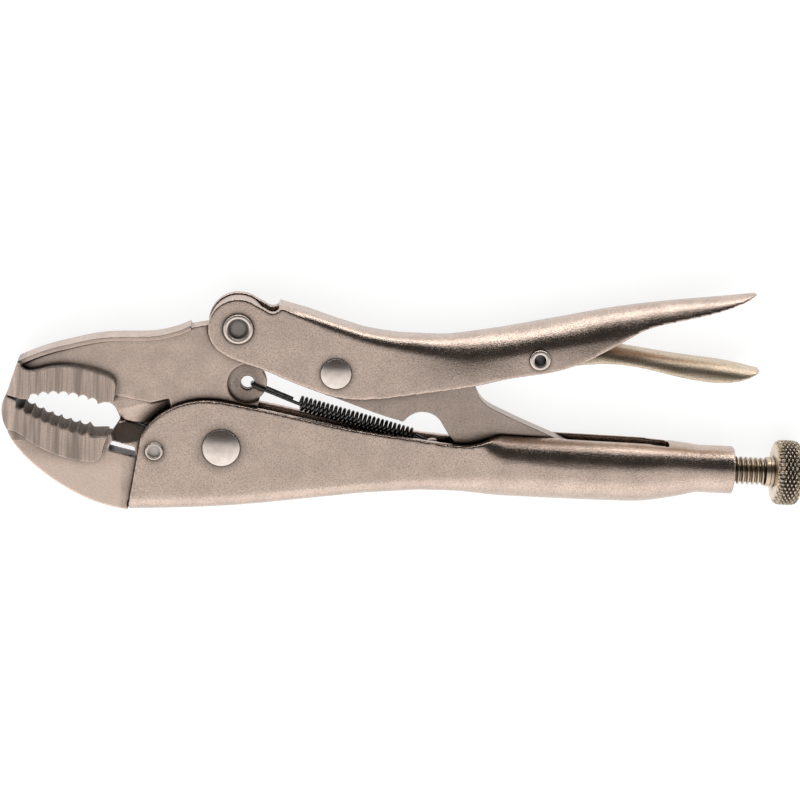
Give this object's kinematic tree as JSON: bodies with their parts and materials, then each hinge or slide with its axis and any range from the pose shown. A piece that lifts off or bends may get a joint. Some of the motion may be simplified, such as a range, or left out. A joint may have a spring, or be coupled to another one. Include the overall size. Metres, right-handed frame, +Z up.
{
  "type": "locking pliers",
  "caption": "Locking pliers with curved toothed jaws, wire cutter, release lever and adjusting screw, lying closed on one side.",
  "frame": {"origin": "centre of the bounding box, on the surface that the tool lies on", "axes": "+X from the jaws to the adjusting knob, +Y from the fixed handle to the movable handle, +Z up along the rivets"},
  "size_m": [0.2248, 0.0706, 0.019],
  "materials": {
    "plated_sheet": "satin nickel plate",
    "forged_jaw": "satin nickel plate on forged steel",
    "rivet_steel": "polished plate",
    "link_steel": "satin",
    "lever_sheet": "satin plate",
    "screw_steel": "bright plate",
    "knob_steel": "knurled, bright plate",
    "spring_wire": "dark spring wire"
  },
  "bodies": {
    "fixed_handle": {"fixed_handle": "plated_sheet", "fixed_jaw": "forged_jaw", "fixed_jaw_rivet": "rivet_steel", "jaw_pivot_rivet": "rivet_steel", "return_spring": "spring_wire"},
    "movable_jaw": {"movable_jaw": "forged_jaw"},
    "movable_handle": {"movable_handle": "plated_sheet", "handle_pivot_rivet": "rivet_steel", "link_rivet": "rivet_steel", "lever_rivet": "rivet_steel"},
    "toggle_link": {"toggle_link": "link_steel"},
    "release_lever": {"release_lever": "lever_sheet"},
    "screw_carriage": {"screw_collar": "screw_steel"},
    "adjusting_screw": {"adjusting_screw": "screw_steel", "adjusting_knob": "knob_steel"}
  },
  "joints": [
    {"name": "jaw_pivot", "type": "hinge", "parent": "fixed_handle", "child": "movable_jaw", "pos_m": [-0.05094, -0.01531, 0.0095], "axis": [0, 0, 1], "range_deg": [-15.5, 0], "deforming": ["return_spring"]},
    {"name": "handle_pivot", "type": "hinge", "parent": "movable_jaw", "child": "movable_handle", "pos_m": [-0.04774, 0.01879, 0.0095], "axis": [0, 0, 1], "range_deg": [0, 60]},
    {"name": "link_pivot", "type": "hinge", "parent": "movable_handle", "child": "toggle_link", "pos_m": [-0.02014, 0.00749, 0.0095], "axis": [0, 0, 1], "range_deg": [-62.9, 0]},
    {"name": "lever_pivot", "type": "hinge", "parent": "movable_handle", "child": "release_lever", "pos_m": [0.03596, 0.01489, 0.0095], "axis": [0, 0, 1], "range_deg": [0, 5]},
    {"name": "screw_travel", "type": "slide", "parent": "fixed_handle", "child": "screw_carriage", "axis": [1, 0, 0], "range_m": [0, 0.012]},
    {"name": "screw_turn", "type": "hinge", "parent": "screw_carriage", "child": "adjusting_screw", "pos_m": [0.10306, -0.01611, 0.0095], "axis": [1, 0, 0], "range_deg": [0, 3064]}
  ],
  "couplings": [
    {"joint": "jaw_pivot", "follows": "handle_pivot", "ratio": -0.255},
    {"joint": "link_pivot", "follows": "handle_pivot", "ratio": -1.045},
    {"joint": "screw_turn", "follows": "screw_travel", "rad_per_m": 4453}
  ]
}
